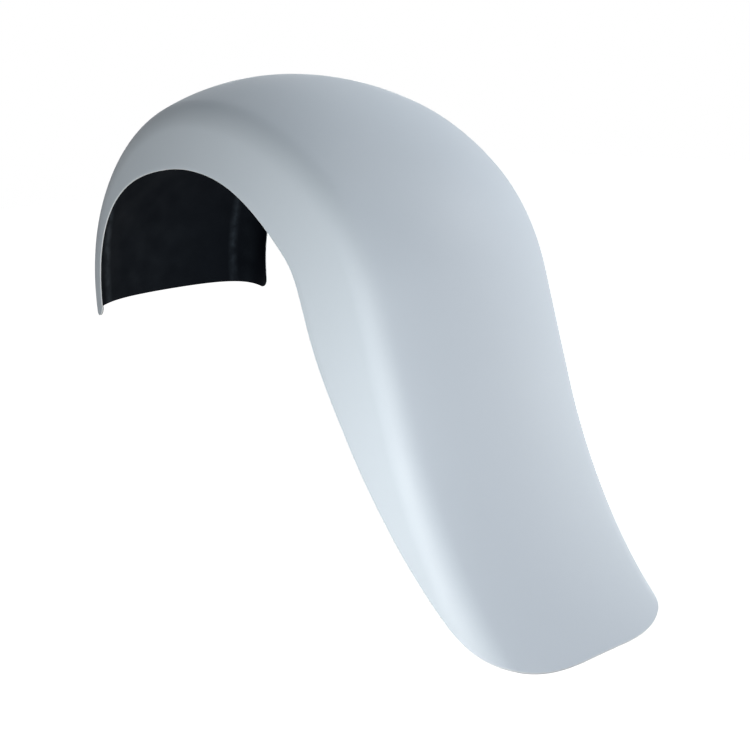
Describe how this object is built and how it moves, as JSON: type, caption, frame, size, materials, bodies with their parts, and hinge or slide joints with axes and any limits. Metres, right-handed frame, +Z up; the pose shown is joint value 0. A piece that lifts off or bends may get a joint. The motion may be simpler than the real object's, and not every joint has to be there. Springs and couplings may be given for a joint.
{
  "type": "motorcycle rear fender",
  "caption": "One-piece moulded rear fender for a wide motorcycle tyre, with a domed crown, soft shoulders, flat sides, deepening skirts and a flipped-up rounded tail.",
  "frame": {"origin": "centre of the rear wheel's axle, which is the centre of the arc over the front of the wheel, on the middle plane of the fender", "axes": "+X forward along the bike, +Y to the rider's left, +Z up; the nose edge is at the front, a little above the level of the axle, and the tail is behind and below it"},
  "size_m": [0.9151, 0.3, 0.6543],
  "materials": {
    "primer": "satin light blue-grey primer outside, black inside"
  },
  "bodies": {
    "root": {"fender": "primer"}
  },
  "joints": []
}
